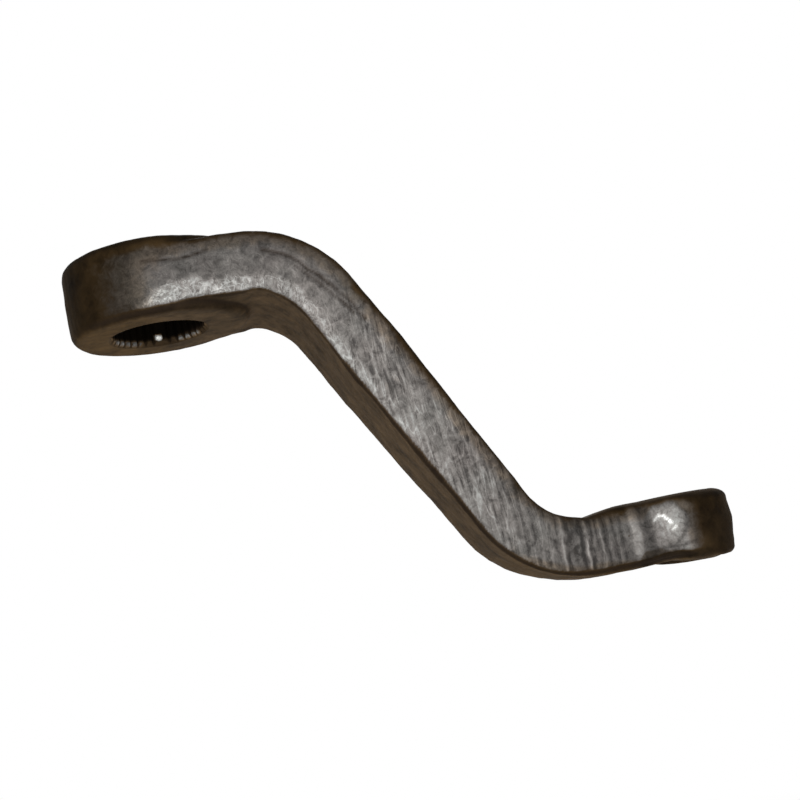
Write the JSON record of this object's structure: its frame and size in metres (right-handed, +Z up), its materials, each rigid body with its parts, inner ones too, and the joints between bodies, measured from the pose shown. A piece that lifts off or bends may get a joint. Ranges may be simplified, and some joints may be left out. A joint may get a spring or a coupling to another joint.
{
  "type": "pitman arm",
  "caption": "Dropped S-shaped forged steel pitman arm with a serrated sector-shaft bore in the big eye and a tapered ball-stud hole in the small eye.",
  "frame": {"origin": "on the serrated bore's axis in the big eye, level with the middle of the strap where it meets that eye", "axes": "+X along the arm from the big eye to the small eye, square to the bore's axis; +Y across the arm, away from the picture's camera; +Z up along the sector shaft's axis, so the small eye lies below the big one"},
  "size_m": [0.2024, 0.0592, 0.1299],
  "materials": {
    "forged_steel": "ground bright on the sides, dark brown forging scale on the ends, the edges and the underside"
  },
  "bodies": {
    "root": {"pitman_arm": "forged_steel"}
  },
  "joints": []
}
